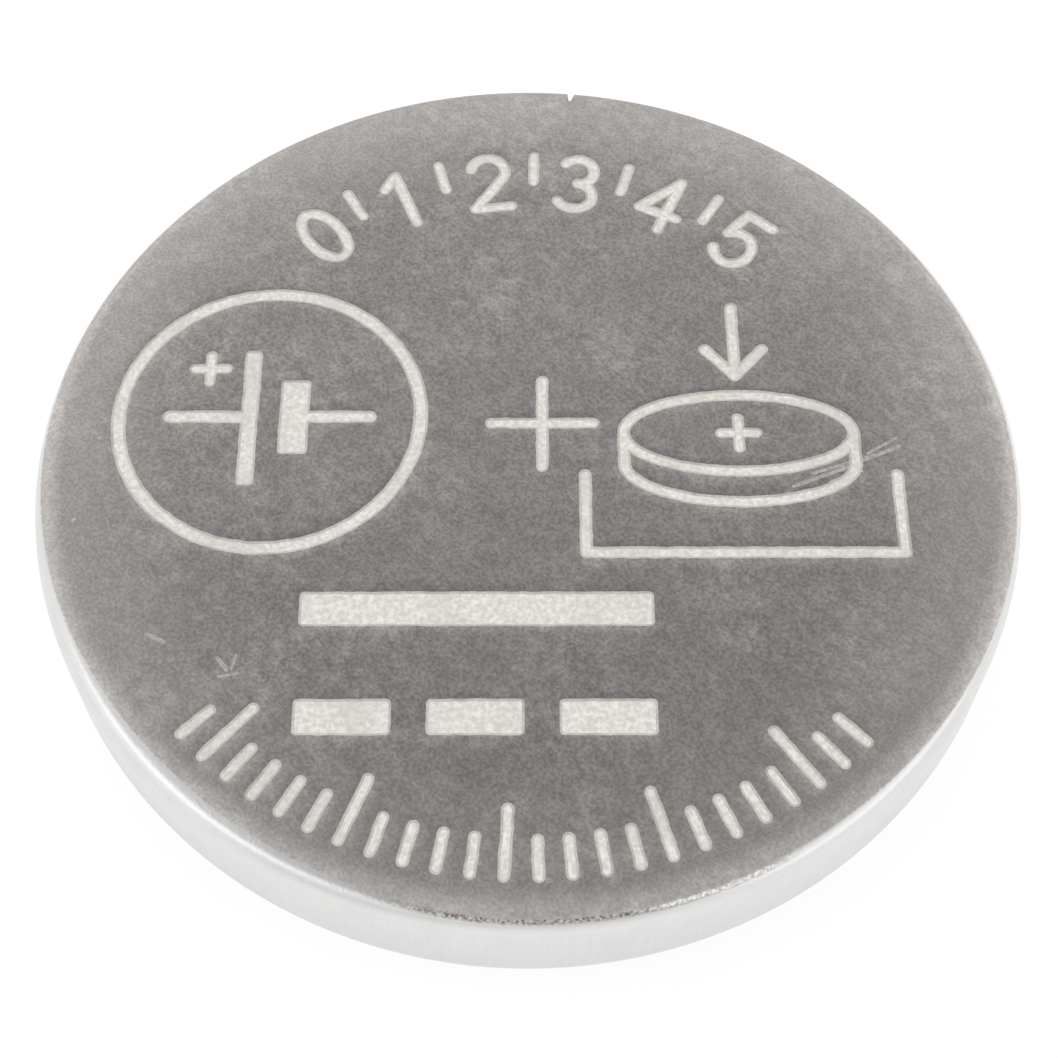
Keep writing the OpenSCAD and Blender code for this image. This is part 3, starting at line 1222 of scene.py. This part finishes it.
@dataclass
class FaceMarks:
    """Everything that is cut into the positive face, in millimetres: laser marks and wear."""

    line: float = 0.26  # width of the strokes of numbers and drawings
    fine: float = 0.24  # width of ticks and small signs
    bold: float = 0.75  # width of the bars
    plus_at: Point = (0.29, 0.79)
    plus_half: float = 1.17
    circuit_at: Point = (-5.3, 0.95)
    current_at: Point = (-1.0, -4.65)
    tray_at: Point = (4.3, 0.7)
    strokes: list[Stroke] = field(init=False)

    BOW_STEP = 6  # degrees of a bow from point to point
    LEAST_STEPS = 6  # in a short bow

    def __post_init__(self) -> None:
        """Lays out all the strokes."""
        self.strokes = [
            *self.plus(self.plus_at, self.plus_half, self.line),
            *self.dial_numbers(),
            *self.dial_scale(),
            *self.circuit_symbol(self.circuit_at),
            *self.direct_current(self.current_at),
            *self.tray_symbol(self.tray_at),
            *self.wear(),
        ]

    @staticmethod
    def plus(centre: Point, half: float, width: float) -> list[Stroke]:
        """Draws the plus sign of the positive pole.

        Args:
            centre: its middle.
            half: half the length of an arm.
            width: width of an arm.

        Returns:
            Its strokes.
        """
        x, y = centre
        reach = half - width / 2
        return [
            Stroke(((x - reach, y), (x + reach, y)), width),
            Stroke(((x, y - reach), (x, y + reach)), width),
        ]

    @staticmethod
    def bow(centre: Point, radii: Point, start: float, end: float) -> tuple[Point, ...]:
        """Draws the centre line of a part of an ellipse.

        Args:
            centre: middle of the ellipse.
            radii: its radii along X and Y.
            start: angle in degrees at which the part starts.
            end: angle at which it ends.

        Returns:
            The points of the line.
        """
        steps = max(FaceMarks.LEAST_STEPS, round(abs(end - start) / FaceMarks.BOW_STEP))
        return tuple(
            (centre[0] + radii[0] * x, centre[1] + radii[1] * y)
            for x, y in arc((0.0, 0.0), 1.0, start, end, steps)
        )

    def ellipse(self, centre: Point, radii: Point, width: float) -> Stroke:
        """Closed ellipse."""
        return Stroke(self.bow(centre, radii, 0, 360 - self.BOW_STEP), width, closed=True)

    def digits(self) -> list[list[tuple[Point, ...]]]:
        """Draws the digits 0 to 5, 1.4 mm high on a baseline at 0.

        Returns:
            The centre lines of each digit.
        """
        bow = self.bow
        return [
            [
                bow((0, 0.7), (0.37, 0.7), 90, 270),
                bow((0, 0.7), (0.37, 0.7), -90, 90),
            ],
            [((-0.28, 1.12), (0.06, 1.4)), ((0.06, 1.4), (0.06, 0.0))],
            [
                (*bow((0, 1.02), (0.38, 0.38), 165, -35), (-0.38, 0.0)),
                ((-0.38, 0.0), (0.4, 0.0)),
            ],
            [
                bow((-0.03, 1.05), (0.35, 0.35), 150, -85),
                bow((-0.03, 0.36), (0.4, 0.36), 85, -150),
            ],
            [
                ((0.16, 0.0), (0.16, 1.4)),
                ((0.16, 1.4), (-0.44, 0.42)),
                ((-0.44, 0.42), (0.42, 0.42)),
            ],
            [
                ((0.34, 1.4), (-0.28, 1.4)),
                ((-0.28, 1.4), (-0.34, 0.72)),
                bow((-0.02, 0.44), (0.4, 0.44), 142, -148),
            ],
        ]

    def dial_numbers(self) -> list[Stroke]:
        """Sets the dial numbers 0 to 5 along the far side of the face.

        Returns:
            Their strokes, and a tick between each two.
        """
        baseline, first, pitch = 6.47, 128.0, 15.6  # mm, and degrees of 0 and between two
        tick_start, tick_end = 7.15, 7.87
        digits = self.digits()
        made = []
        for place, digit in enumerate(digits):
            turn = math.radians(first - pitch * place)
            out = Vector((math.cos(turn), math.sin(turn)))
            side = Vector((out.y, -out.x))
            for path in digit:
                spots = [out * (baseline + y) + side * x for x, y in path]
                made.append(Stroke(tuple((s.x, s.y) for s in spots), self.line))
        ticks = [first - pitch * (place + 0.5) for place in range(len(digits) - 1)]
        return made + [self.tick(angle, tick_start, tick_end) for angle in ticks]

    def tick(self, angle: float, start: float, end: float) -> Stroke:
        """Radial tick at an angle in degrees, from one radius to another."""
        x, y = math.cos(math.radians(angle)), math.sin(math.radians(angle))
        return Stroke(((x * start, y * start), (x * end, y * end)), self.fine)

    def dial_scale(self) -> list[Stroke]:
        """Draws a graduation along the near side of the face, every fifth tick long.

        Returns:
            Its ticks.
        """
        count, first, pitch = 24, -136.7, 3.99  # ticks, and degrees of the first and between two
        inner, outer = {True: 7.65, False: 8.25}, 8.95
        return [self.tick(first + pitch * k, inner[k % 5 == 1], outer) for k in range(count)]

    def circuit_symbol(self, centre: Point) -> list[Stroke]:
        """Draws the circuit symbol of a cell in a ring: a long thin plate and a short thick one.

        Args:
            centre: middle of the ring.

        Returns:
            Its strokes.
        """
        x, y = centre
        ring_r, wire, lead_reach = 3.1, 0.3, 2.05
        plus_at, plus_half = (x - 1.3, y + 1.2), 0.45
        thin, thick = x - 0.42, x + 0.5
        plates = (thin, 1.65, 0.36), (thick, 0.9, 0.62)  # place, half length and width
        leads = (x - lead_reach, thin), (thick, x + lead_reach)
        square = StrokeEnd.SQUARE
        return [
            self.ellipse(centre, (ring_r, ring_r), wire),
            *(Stroke(((at, y - h), (at, y + h)), w, end=square) for at, h, w in plates),
            *(Stroke(((start, y), (end, y)), wire) for start, end in leads),
            *self.plus(plus_at, plus_half, self.fine),
        ]

    def direct_current(self, centre: Point) -> list[Stroke]:
        """Draws the sign for direct current: a bar over three dashes.

        Args:
            centre: middle of the sign.

        Returns:
            Its strokes.
        """
        x, y = centre
        half, dash, rise = 3.45, 1.86, 1.15  # half the bar, one dash, and how far both lie off y
        lines = [((x - half, y + rise), (x + half, y + rise))]
        for start in (x - half, x - dash / 2, x + half - dash):
            lines.append(((start, y - rise), (start + dash, y - rise)))
        return [Stroke(path, self.bold, end=StrokeEnd.SQUARE) for path in lines]

    def tray_symbol(self, centre: Point) -> list[Stroke]:
        """Draws a cell that goes into its tray, positive face up.

        Args:
            centre: middle of the drawing.

        Returns:
            Its strokes.
        """
        x, y = centre
        radii, thick, top, plus_half = (2.35, 0.92), 0.72, y - 0.15, 0.48  # cell
        wide, floor, lip = 3.15, y - 2.95, y - 1.15  # tray
        tail, tip, barb_x, barb_y = y + 3.0, y + 1.25, 0.6, 0.68  # arrow
        left, right, low = x - radii[0], x + radii[0], top - thick
        lines = [
            ((left, top), (left, low)),
            ((right, top), (right, low)),
            self.bow((x, low), radii, 180, 360),
            ((x, tail), (x, tip)),
            ((x - barb_x, tip + barb_y), (x, tip)),
            ((x + barb_x, tip + barb_y), (x, tip)),
            ((x - wide, lip), (x - wide, floor)),
            ((x - wide, floor), (x + wide, floor)),
            ((x + wide, floor), (x + wide, lip)),
        ]
        return [
            self.ellipse((x, top), radii, self.line),
            *(Stroke(path, self.line) for path in lines),
            *self.plus((x, top), plus_half, self.fine),
        ]

    def wear(self) -> list[Stroke]:
        """Scratches the face right of the middle, and flecks it at the near left and the rim.

        Returns:
            Its hairlines.
        """
        # Start, end and width of each, the scratches first
        hairlines = [
            ((5.35, -0.72), (6.45, -0.28), 0.08),
            ((5.75, -0.42), (7.05, 0.02), 0.07),
            ((6.35, -0.3), (7.55, 0.22), 0.08),
            ((4.7, -1.1), (5.25, -0.88), 0.07),
            ((6.1, -0.62), (6.75, -0.36), 0.06),
            ((6.9, 0.06), (7.5, 0.42), 0.06),
            ((-5.95, -4.55), (-5.75, -4.82), 0.07),
            ((-5.6, -4.5), (-5.66, -4.78), 0.06),
            ((-5.9, -4.95), (-5.55, -4.88), 0.06),
            ((-7.35, -4.05), (-7.0, -4.22), 0.07),
            ((-9.08, -1.5), (-9.05, -1.47), 0.08),
            ((-8.75, 0.45), (-8.72, 0.48), 0.07),
            ((8.5, -3.7), (8.52, -3.66), 0.07),
            ((0.35, -9.02), (0.4, -9.02), 0.07),
        ]
        return [Stroke((start, end), width, SCRATCH) for start, end, width in hairlines]


@dataclass
class EngravedFace:
    """The positive face with its marks, as one triangulated skin inside a ring of the can."""

    sizes: CellSizes
    edge_r: float = 9.36  # radius of that ring
    spacing: float = 0.24  # distance between the points beside the marks
    clear: float = 0.07  # distance that they keep from every outline
    shake: float = 0.2  # share of the spacing by which each is shaken
    marks: FaceMarks = field(default_factory=FaceMarks)

    SHAKE_SEED = 7
    GRAIN_SEED = 11
    TRIANGLES_INSIDE = 1  # kind of result that the triangulation gives
    MERGE = 1e-5  # mm within which it merges two points

    def cut_into(self, turning: Turning) -> Ring:
        """Adds the face to the mesh of the can.

        Args:
            turning: mesh that the face becomes a part of.

        Returns:
            The ring of vertices round the face, in the order of the angles.
        """
        rim = [(self.edge_r * math.cos(t), self.edge_r * math.sin(t)) for t in turning.turns]
        points: list[Point] = list(rim)
        loops = [list(range(len(rim)))]
        owners: list[tuple[int, bool]] = [(-1, False)]
        for number, stroke in enumerate(self.marks.strokes):
            for inset in (0.0, stroke.cut.edge):
                for outline in stroke.outlines(inset):
                    loops.append(list(range(len(points), len(points) + len(outline))))
                    points.extend(outline)
                    owners.append((number, inset > 0))
        points.extend(self._plain_points(points))
        for stroke in self.marks.strokes:
            if stroke.cut.grain > 0:
                points.extend(stroke.floor_points())
        flat, _, faces, origins, _, covers = geometry.delaunay_2d_cdt(
            [Vector(p) for p in points], [], loops, self.TRIANGLES_INSIDE, self.MERGE, True
        )
        kinds = [self._kind([owners[loop] for loop in cover]) for cover in covers]
        depths = self._depths(len(flat), faces, kinds)
        verts = []
        for at, depth in zip(flat, depths):
            height = self.sizes.face_height(at.length) - depth
            verts.append(turning.vertex(at.x, at.y, height))
        for corners, (slot, _) in zip(faces, kinds):
            turning.mesh.faces.new([verts[c] for c in corners]).material_index = slot
        by_origin = {source: verts[i] for i, own in enumerate(origins) for source in own}
        return [by_origin[i] for i in range(len(rim))]

    def _plain_points(self, outlines: list[Point]) -> list[Point]:
        """Lays points between the marks, on a shaken grid.

        Args:
            outlines: points of every outline, which the grid keeps clear of.

        Returns:
            The points of the grid.
        """
        tree = kdtree.KDTree(len(outlines))
        for i, (x, y) in enumerate(outlines):
            tree.insert((x, y, 0.0), i)
        tree.balance()
        # Every other row is shifted by half the spacing
        shaken = random.Random(self.SHAKE_SEED)
        made = []
        reach = math.ceil(self.edge_r / self.spacing)
        for i in range(-reach, reach + 1):
            for j in range(-reach, reach + 1):
                shift_x = shaken.uniform(-self.shake, self.shake)
                x = (i + 0.5 * (j % 2) + shift_x) * self.spacing
                y = (j + shaken.uniform(-self.shake, self.shake)) * self.spacing
                inside = math.hypot(x, y) < self.edge_r - self.spacing / 2
                if inside and tree.find((x, y, 0.0))[2] > self.clear:
                    made.append((x, y))
        return made

    def _kind(self, covers: list[tuple[int, bool]]) -> tuple[CanSlot, Cut | None]:
        """Finds the slot of a triangle, and the cut whose floor it lies on.

        Args:
            covers: stroke number of each outline round the triangle, and whether it is the floor's.

        Returns:
            The slot, with the cut on its floor, or None on an edge or on the plain face.
        """
        best: tuple[int, CanSlot, Cut | None] = (0, CanSlot.PLATING, None)
        for cover in dict.fromkeys(covers):
            number, is_floor = cover
            if number < 0 or covers.count(cover) % 2 == 0:
                continue
            cut = self.marks.strokes[number].cut
            rank = cut.rank + is_floor
            if rank > best[0]:
                best = rank, cut.floor if is_floor else cut.slope, cut if is_floor else None
        return best[1], best[2]

    def _depths(
        self, count: int, faces: list[list[int]], kinds: list[tuple[CanSlot, Cut | None]]
    ) -> list[float]:
        """Finds the depth of each vertex below the face.

        Args:
            count: number of vertices.
            faces: vertices of each triangle.
            kinds: slot and cut of each triangle.

        Returns:
            Depths in millimetres.
        """
        floor = [0.0] * count
        grain = [0.0] * count
        plain, sloped = [False] * count, [False] * count
        for corners, (slot, cut) in zip(faces, kinds):
            for c in corners:
                if cut is not None:
                    floor[c] = max(floor[c], cut.depth)
                    grain[c] = max(grain[c], cut.grain)
                elif slot is CanSlot.PLATING:
                    plain[c] = True
                else:
                    sloped[c] = True
        # A vertex that only slopes touch lies half way down a laser mark
        rough = random.Random(self.GRAIN_SEED)
        depths = []
        for i in range(count):
            shake = rough.uniform(-0.5, 0.5) * grain[i]
            if floor[i] > 0:
                depths.append(floor[i] + (0.0 if sloped[i] or plain[i] else shake))
            elif sloped[i] and not plain[i]:
                depths.append(LASER.depth / 2)
            else:
                depths.append(0.0)
        return depths


@dataclass
class PositiveCan:
    """The drawn can: engraved face, drawn corner, wall and rolled edge."""

    sizes: CellSizes
    segments: int = 384  # vertices round the axis
    sharp: float = 22.0  # degrees above which an edge is shaded as sharp
    nick_angle: float = 84.3  # degrees round from +X
    nick_half_w: float = 0.07
    nick_depth: float = 0.15
    nick_tilt: float = 43.0  # degrees above the horizontal that it faces
    nick_steep: float = 0.02  # width over which its steep side falls
    nick_sloped: float = 0.045  # width over which its sloped side falls

    NICK_STEP = 0.15  # degrees between the extra vertices at the nick
    NICK_STEPS = 6  # extra vertices on either side of it
    NICK_REACH = 0.6  # mm in from the wall that the nick can reach
    SKIN = 0.6, 0.9  # shares of the sheet, at wall and face, that count as its outside

    def build(self) -> bpy.types.Object:
        """Builds and dresses the can.

        Returns:
            The piece that stands for the CAD node.
        """
        size = self.sizes
        steps = range(-self.NICK_STEPS, self.NICK_STEPS + 1)
        fine = (round(self.nick_angle + self.NICK_STEP * k, 3) for k in steps)
        can = Turning(sorted({*even_angles(self.segments), *fine}))
        face = EngravedFace(size)
        rim = face.cut_into(can)
        outside = size.can_wall_line(0.0, size.lip_land, face.edge_r)
        rings = [rim, *(can.ring(p) for p in outside[1:])]
        can.skin(rings, CanSlot.PLATING)
        inside = size.can_wall_line(size.sheet, size.lip_land, face.edge_r)
        inner = [can.ring(p) for p in reversed(inside)]
        middle = [
            can.ring((r, size.face_height(r, size.sheet)))
            for r in (size.face_flat_r, size.face_flat_r / 2, 0.0)
        ]
        can.skin([rings[-1], inner[0]], CanSlot.PLATING)
        can.skin([*inner, *middle], CanSlot.INSIDE)
        self._nick(can)
        finishes = (
            NickelPlatedSteel(),
            LaserFrostedNickel(),
            LaserTintedNickel(),
            ScratchedNickel(),
            DrawnNickel(),
        )
        piece = can.finish("can_shell", finishes, "can_steel", self.sharp)
        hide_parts("positive_can")
        return piece

    def _nick(self, can: Turning) -> None:
        """Presses the small nick into the far side of the corner.

        Args:
            can: mesh of the can.
        """
        turn = math.radians(self.nick_angle)
        across = Vector((-math.sin(turn), math.cos(turn), 0.0))
        outward = Vector((math.cos(turn), math.sin(turn), 0.0))
        tilt = math.radians(self.nick_tilt)
        inner_r = self.sizes.radius - self.sizes.sheet * self.SKIN[0]
        inner_z = self.sizes.height - self.sizes.sheet * self.SKIN[1]
        inmost = self.sizes.radius - self.NICK_REACH
        facing = (outward * math.cos(tilt) + Vector((0, 0, math.sin(tilt)))).normalized()
        centre = outward * self.sizes.corner_centre[0] * MM
        centre.z = self.sizes.corner_centre[1] * MM
        for vert in can.mesh.verts:
            reach = vert.co.dot(outward) / MM
            outside = reach > inner_r or vert.co.z / MM > inner_z
            off = vert.co.dot(across) / MM
            if reach < inmost or not outside or abs(off) > self.nick_half_w:
                continue
            share = self._nick_share(off)
            height = (vert.co - centre).dot(facing) / MM
            sink = height - (self.sizes.can_corner_r - self.nick_depth * share)
            if sink > 0:
                vert.co -= facing * (sink * MM)

    def _nick_share(self, off: float) -> float:
        """Share of the nick's depth across its width: steep on one side, sloped on the other."""
        left, right = self.nick_half_w - off, self.nick_half_w + off
        return max(0.0, min(1.0, left / self.nick_steep, right / self.nick_sloped))


@dataclass
class NegativeCap:
    """The drawn cap with its raised contact pan, seen from below."""

    sizes: CellSizes
    segments: int = 320  # vertices round the axis
    sharp: float = 40.0  # degrees above which an edge is shaded as sharp

    def build(self) -> bpy.types.Object:
        """Builds and dresses the cap.

        Returns:
            The piece that stands for the CAD node.
        """
        cap = Turning(even_angles(self.segments))
        outside = self.sizes.cap_line(0.0)
        inside = self.sizes.cap_line(self.sizes.sheet)
        cap.skin([cap.ring(p) for p in (*outside, *reversed(inside))])
        piece = cap.finish("cap_shell", (SatinDrawnSteel(),), "cap_steel", self.sharp)
        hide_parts("negative_cap")
        return piece


@dataclass
class SealingGasket:
    """The moulded ring between can and cap, with its edge showing inside the rolled lip."""

    sizes: CellSizes
    segments: int = 320  # vertices round the axis
    sharp: float = 35.0  # degrees above which an edge is shaded as sharp
    edge_round: float = 0.04  # bevel of the edge that shows

    def section(self) -> list[Point]:
        """Draws the closed section of the ring.

        Returns:
            Points as (radius, height), from the foot of the inner leg up and round the can side.
        """
        size = self.sizes
        leg_r = size.skirt_r - size.sheet - size.gasket_leg_t
        leg_z = size.skirt_top - size.gasket_leg_h
        skirt_in_r = size.skirt_r - size.sheet
        lip = size.lip_land + size.gasket_reveal
        flange_z = size.crimp_centre[1] - size.flange_corner_r
        end = size.lip_end(size.sheet, lip)
        against_can = size.can_wall_line(size.sheet, lip - self.edge_round, leg_r)
        return [
            (leg_r, leg_z),
            *against_can,
            (end[0], end[1] + self.edge_round),
            (end[0], flange_z),
            *arc(size.crimp_centre, size.flange_corner_r, -90, 0, size.BEND_STEPS),
            (size.skirt_r, size.skirt_top),
            (skirt_in_r, size.skirt_top),
            (skirt_in_r, leg_z),
        ]

    def build(self) -> bpy.types.Object:
        """Builds and dresses the gasket.

        Returns:
            The piece that stands for the CAD node.
        """
        ring = Turning(even_angles(self.segments))
        rings = [ring.ring(p) for p in self.section()]
        ring.skin([*rings, rings[0]])
        finishes = (NaturalPolypropylene(),)
        piece = ring.finish("gasket_ring", finishes, "gasket_polypropylene", self.sharp)
        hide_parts("sealing_gasket")
        return piece


@dataclass
class SealedStack:
    """The stack inside the cell, which keeps its CAD solids and gets its own finishes."""

    finishes: dict[str, Finish] = field(
        default_factory=lambda: {
            "current_collector": ExpandedSteel(),
            "cathode_pellet": PressedOxide(),
            "separator": NonWovenPolypropylene(),
            "lithium_anode": RolledLithium(),
        }
    )

    def dress(self) -> list[bpy.types.Object]:
        """Dresses the CAD nodes of the stack.

        Returns:
            The nodes.
        """
        dressed = []
        for name, finish in self.finishes.items():
            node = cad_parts[name]
            for material_slot in node.material_slots:
                material_slot.material = finish.material()
            dressed.append(node)
        return dressed


@dataclass
class Softbox:
    """A square area lamp that looks at the cell.

    Attributes:
        name: name of the lamp.
        azimuth: degrees round from +X, counted as seen from above.
        elevation: degrees above the floor.
        side: metres along one side.
        level: brightness of its face, 1 for that of a white floor.
        distance: metres from the cell.
    """

    name: str
    azimuth: float
    elevation: float
    side: float
    level: float
    distance: float = 0.5

    def build(self) -> bpy.types.Object:
        """Places the lamp.

        Returns:
            The lamp.
        """
        data = bpy.data.lights.new(self.name, "AREA")
        data.shape = "SQUARE"
        data.size = self.side
        # The power in watts that gives the face of a square lamp its level
        data.energy = self.level * math.pi * self.side**2
        lamp = bpy.data.objects.new(self.name, data)
        azimuth, elevation = math.radians(self.azimuth), math.radians(self.elevation)
        lamp.location = (
            self.distance * math.cos(azimuth) * math.cos(elevation),
            self.distance * math.sin(azimuth) * math.cos(elevation),
            self.distance * math.sin(elevation),
        )
        lamp.rotation_euler = lamp.location.to_track_quat("Z", "Y").to_euler()
        bpy.context.scene.collection.objects.link(lamp)
        return lamp


@dataclass
class Studio:
    """White floor, soft tent light and the camera of the photograph."""

    sizes: CellSizes
    floor_side: float = 3.0
    paper: str = "#e6e6e6"  # floor, as the cell sees it
    shade: str = "#8c8c8c"  # floor, as the camera sees it, below its glow
    glow: float = 0.8
    horizon: str = "#ffffff"
    zenith: str = "#a9a9aa"
    tent_white_to: float = 0.25  # height on a unit sky up to which the tent is plain white
    camera_distance: float = 40.0  # mm from the middle of the positive face
    camera_elevation: float = 57.81  # degrees, seen from the middle of the face
    camera_pitch: float = 59.94  # degrees below the horizon that the camera looks
    camera_yaw: float = 0.05  # degrees that it looks to the right
    focal_px: float = 1970.5  # focal length in pixels of the photograph
    sensor: float = 36.0  # mm
    clip: tuple[float, float] = (1.0, 10000.0)  # mm, nearest and farthest that it sees
    softboxes: tuple[Softbox, ...] = (
        Softbox("back_left_softbox", azimuth=112.0, elevation=38.0, side=0.36, level=0.75),
        Softbox("back_right_softbox", azimuth=58.0, elevation=36.0, side=0.36, level=0.7),
        Softbox("left_softbox", azimuth=182.0, elevation=58.0, side=0.28, level=0.78),
        Softbox("right_softbox", azimuth=-26.0, elevation=45.0, side=0.42, level=0.55),
        Softbox("front_softbox", azimuth=-112.0, elevation=60.0, side=0.32, level=0.4),
        Softbox("left_fill_softbox", azimuth=190.0, elevation=42.0, side=0.42, level=0.25),
    )

    def build(self) -> None:
        """Builds the whole studio."""
        self._floor()
        self._sky()
        for softbox in self.softboxes:
            softbox.build()
        self._camera()
        bpy.context.scene.view_settings.view_transform = "Standard"

    def _floor(self) -> None:
        """Lays a large square floor that shows white and keeps a faint shadow."""
        half = self.floor_side / 2
        corners = ((-half, -half, 0), (half, -half, 0), (half, half, 0), (-half, half, 0))
        data = bpy.data.meshes.new("studio_floor")
        data.from_pydata(corners, [], [(0, 1, 2, 3)])
        made = bpy.data.materials.new("white_paper_floor")
        made.use_nodes = True
        tree = made.node_tree
        tree.nodes.clear()
        paths = add_node(tree, "LightPath").outputs
        seen = paths["Is Camera Ray"]
        for ray in ("Is Glossy Ray", "Is Transmission Ray"):
            terms = {0: seen, 1: paths[ray]}
            seen = add_node(tree, "Math", {"operation": "ADD", "use_clamp": True}, terms).outputs[0]
        paper, shade = (
            add_node(tree, "BsdfDiffuse", {"Color": linear(colour)}).outputs[0]
            for colour in (self.paper, self.shade)
        )
        glow = add_node(tree, "Emission", {"Strength": self.glow}).outputs[0]
        white = add_node(tree, "AddShader", links={0: glow, 1: shade}).outputs[0]
        mixed = add_node(tree, "MixShader", links={0: seen, 1: paper, 2: white}).outputs[0]
        add_node(tree, "OutputMaterial", links={"Surface": mixed})
        data.materials.append(made)
        floor = bpy.data.objects.new("studio_floor", data)
        bpy.context.scene.collection.objects.link(floor)

    def _sky(self) -> None:
        """Lights the scene like a white tent whose top is a little darker."""
        world = bpy.data.worlds.new("light_tent")
        world.use_nodes = True
        tree = world.node_tree
        tree.nodes.clear()
        way = add_node(tree, "TexCoord").outputs["Generated"]
        height = add_node(tree, "SeparateXYZ", links={0: way}).outputs[2]
        rise = {**SMOOTH, "From Min": self.tent_white_to}
        share = add_node(tree, "MapRange", rise, {"Value": height}).outputs[0]
        tints = {**MIX, BELOW: linear(self.horizon), ABOVE: linear(self.zenith)}
        colour = add_node(tree, "Mix", tints, {FACTOR: share}).outputs[MIXED]
        tent = add_node(tree, "Background", {"Strength": 1.0}, {"Color": colour}).outputs[0]
        add_node(tree, "OutputWorld", links={"Surface": tent})
        bpy.context.scene.world = world

    def _camera(self) -> None:
        """Places the camera where the photograph was taken from."""
        data = bpy.data.cameras.new("photo_camera")
        data.sensor_width = self.sensor
        data.lens = self.focal_px / IMAGE_SIDE * self.sensor
        data.clip_start, data.clip_end = (distance * MM for distance in self.clip)
        camera = bpy.data.objects.new("photo_camera", data)
        elevation = math.radians(self.camera_elevation)
        back = self.camera_distance * math.cos(elevation)
        up = self.camera_distance * math.sin(elevation)
        camera.location = Vector((0.0, -back, self.sizes.height + up)) * MM
        pitch, yaw = math.radians(90 - self.camera_pitch), math.radians(self.camera_yaw)
        camera.rotation_euler = Euler((pitch, 0.0, -yaw))
        bpy.context.scene.collection.objects.link(camera)
        bpy.context.scene.camera = camera


def main() -> None:
    """Builds each sub-assembly in order and reports its pieces."""
    logging.basicConfig(level=logging.INFO, format="%(name)s: %(message)s")
    sizes = CellSizes.from_frame()
    pieces = [PositiveCan(sizes).build(), NegativeCap(sizes).build(), SealingGasket(sizes).build()]
    pieces += SealedStack().dress()
    for piece in pieces:
        LOG.info("%s: %d faces", piece.name, len(piece.data.polygons))
    Studio(sizes).build()


if __name__ == "__main__":
    main()
